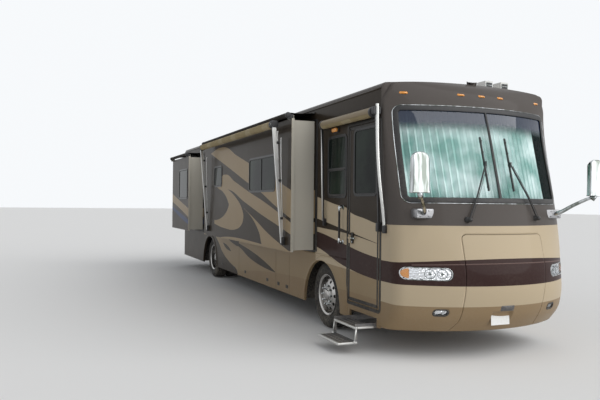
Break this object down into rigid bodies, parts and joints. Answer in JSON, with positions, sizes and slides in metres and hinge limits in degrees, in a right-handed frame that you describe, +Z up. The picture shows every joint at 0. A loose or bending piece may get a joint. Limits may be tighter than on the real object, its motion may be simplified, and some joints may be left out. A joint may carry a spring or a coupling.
{
  "type": "motorhome",
  "caption": "Parked class A motorhome with its slide-out rooms out, awnings rolled up, a drawn windshield curtain and its entry step out.",
  "frame": {"origin": "on the ground, at the middle of the parked vehicle's box in plan", "axes": "+X forward, +Y to the vehicle's left (driver's side), +Z up"},
  "size_m": [12.6875, 3.85, 3.655],
  "materials": {
    "body_paint": "gloss",
    "front_paint": "gloss",
    "lower_paint": "gloss",
    "roof_paint": "gloss",
    "roof_plastic": "matte",
    "lamp": "clear",
    "amber": "gloss",
    "red_lamp": "gloss",
    "windshield": "clear",
    "dark_glass": "gloss",
    "bright_trim": "polished",
    "curtain": "matte",
    "chrome": "polished",
    "wheel_metal": "polished",
    "tyre": "matte",
    "steel": "satin",
    "floor": "satin",
    "black_plastic": "satin",
    "awning": "gloss"
  },
  "bodies": {
    "coach": {"chassis_frame": "steel", "door_awning": "awning", "engine_block": "steel", "floor_deck": "floor", "front_axle": "steel", "front_cap": "front_paint", "front_lamps": "lamp", "grab_handle": "chrome", "hitch_receiver": "steel", "marker_lamps": "amber", "mirrors": "chrome", "rear_axle": "steel", "rear_cap": "body_paint", "roof_horns": "chrome", "roof_shell": "roof_paint", "roof_units": "roof_plastic", "side_windows": "dark_glass", "skirt_left": "lower_paint", "skirt_right": "lower_paint", "storage_bays": "steel", "tail_lamps": "red_lamp", "wall_left": "body_paint", "wall_right": "body_paint", "wheel_wells": "black_plastic", "windshield_curtain": "curtain", "windshield_glass": "windshield", "windshield_trim": "bright_trim", "wipers": "black_plastic"},
    "knuckle_left": {"knuckle_left": "steel"},
    "knuckle_right": {"knuckle_right": "steel"},
    "wheel_front_left": {"tyre_front_left": "tyre", "rim_front_left": "wheel_metal"},
    "wheel_front_right": {"tyre_front_right": "tyre", "rim_front_right": "wheel_metal"},
    "wheels_rear_left": {"tyres_rear_left": "tyre", "rims_rear_left": "wheel_metal"},
    "wheels_rear_right": {"tyres_rear_right": "tyre", "rims_rear_right": "wheel_metal"},
    "entry_door": {"entry_door": "body_paint", "entry_door_window": "dark_glass"},
    "room_right_front": {"room_right_front": "body_paint", "room_windows_right_front": "dark_glass", "patio_awning": "awning"},
    "room_right_rear": {"room_right_rear": "body_paint", "room_windows_right_rear": "dark_glass"},
    "room_left_front": {"room_left_front": "body_paint", "room_windows_left_front": "dark_glass"},
    "room_left_rear": {"room_left_rear": "body_paint", "room_windows_left_rear": "dark_glass"},
    "front_hatch": {"front_hatch": "front_paint"},
    "engine_door": {"engine_door": "body_paint"},
    "entry_step": {"entry_step": "black_plastic"},
    "bay_door_left_1": {"bay_door_left_1": "lower_paint"},
    "bay_door_left_2": {"bay_door_left_2": "lower_paint"},
    "bay_door_left_3": {"bay_door_left_3": "lower_paint"},
    "bay_door_right_1": {"bay_door_right_1": "lower_paint"},
    "bay_door_right_2": {"bay_door_right_2": "lower_paint"},
    "bay_door_right_3": {"bay_door_right_3": "lower_paint"}
  },
  "joints": [
    {"name": "steer_left", "type": "hinge", "parent": "coach", "child": "knuckle_left", "pos_m": [3.645, 0.895, 0.488], "axis": [0, 0, 1], "range_deg": [-28, 28]},
    {"name": "steer_right", "type": "hinge", "parent": "coach", "child": "knuckle_right", "pos_m": [3.645, -0.895, 0.488], "axis": [0, 0, 1], "range_deg": [-28, 28]},
    {"name": "front_left_wheel_turn", "type": "hinge", "parent": "knuckle_left", "child": "wheel_front_left", "pos_m": [3.645, 1.06, 0.488], "axis": [0, 1, 0], "continuous": true},
    {"name": "front_right_wheel_turn", "type": "hinge", "parent": "knuckle_right", "child": "wheel_front_right", "pos_m": [3.645, -1.06, 0.488], "axis": [0, 1, 0], "continuous": true},
    {"name": "rear_left_wheels_turn", "type": "hinge", "parent": "coach", "child": "wheels_rear_left", "pos_m": [-3.105, 0.9, 0.488], "axis": [0, 1, 0], "continuous": true},
    {"name": "rear_right_wheels_turn", "type": "hinge", "parent": "coach", "child": "wheels_rear_right", "pos_m": [-3.105, -0.9, 0.488], "axis": [0, 1, 0], "continuous": true},
    {"name": "entry_door_swing", "type": "hinge", "parent": "coach", "child": "entry_door", "pos_m": [5.368, -1.275, 1.72], "axis": [0, 0, 1], "range_deg": [0, 90]},
    {"name": "right_main_room_slide", "type": "slide", "parent": "coach", "child": "room_right_front", "axis": [0, 1, 0], "range_m": [0, 0.355]},
    {"name": "right_rear_room_slide", "type": "slide", "parent": "coach", "child": "room_right_rear", "axis": [0, 1, 0], "range_m": [0, 0.355]},
    {"name": "left_main_room_slide", "type": "slide", "parent": "coach", "child": "room_left_front", "axis": [0, -1, 0], "range_m": [0, 0.515]},
    {"name": "left_rear_room_slide", "type": "slide", "parent": "coach", "child": "room_left_rear", "axis": [0, -1, 0], "range_m": [0, 0.515]},
    {"name": "front_hatch_lift", "type": "hinge", "parent": "coach", "child": "front_hatch", "pos_m": [6.1869, 0, 1.498], "axis": [0, -1, 0], "range_deg": [0, 75]},
    {"name": "engine_door_lift", "type": "hinge", "parent": "coach", "child": "engine_door", "pos_m": [-6.285, 0, 1.638], "axis": [0, 1, 0], "range_deg": [0, 80]},
    {"name": "entry_step_slide", "type": "slide", "parent": "coach", "child": "entry_step", "axis": [0, 1, 0], "range_m": [0, 0.42]},
    {"name": "bay_right_1_lift", "type": "hinge", "parent": "coach", "child": "bay_door_right_1", "pos_m": [1.9975, -1.275, 1.035], "axis": [-1, 0, 0], "range_deg": [0, 85]},
    {"name": "bay_right_2_lift", "type": "hinge", "parent": "coach", "child": "bay_door_right_2", "pos_m": [0.5095, -1.275, 1.035], "axis": [-1, 0, 0], "range_deg": [0, 85]},
    {"name": "bay_right_3_lift", "type": "hinge", "parent": "coach", "child": "bay_door_right_3", "pos_m": [-1.4615, -1.275, 1.035], "axis": [-1, 0, 0], "range_deg": [0, 85]},
    {"name": "bay_left_1_lift", "type": "hinge", "parent": "coach", "child": "bay_door_left_1", "pos_m": [1.9975, 1.275, 1.035], "axis": [1, 0, 0], "range_deg": [0, 85]},
    {"name": "bay_left_2_lift", "type": "hinge", "parent": "coach", "child": "bay_door_left_2", "pos_m": [0.5095, 1.275, 1.035], "axis": [1, 0, 0], "range_deg": [0, 85]},
    {"name": "bay_left_3_lift", "type": "hinge", "parent": "coach", "child": "bay_door_left_3", "pos_m": [-1.4615, 1.275, 1.035], "axis": [1, 0, 0], "range_deg": [0, 85]}
  ],
  "couplings": [
    {"joint": "steer_right", "follows": "steer_left", "ratio": 1}
  ]
}
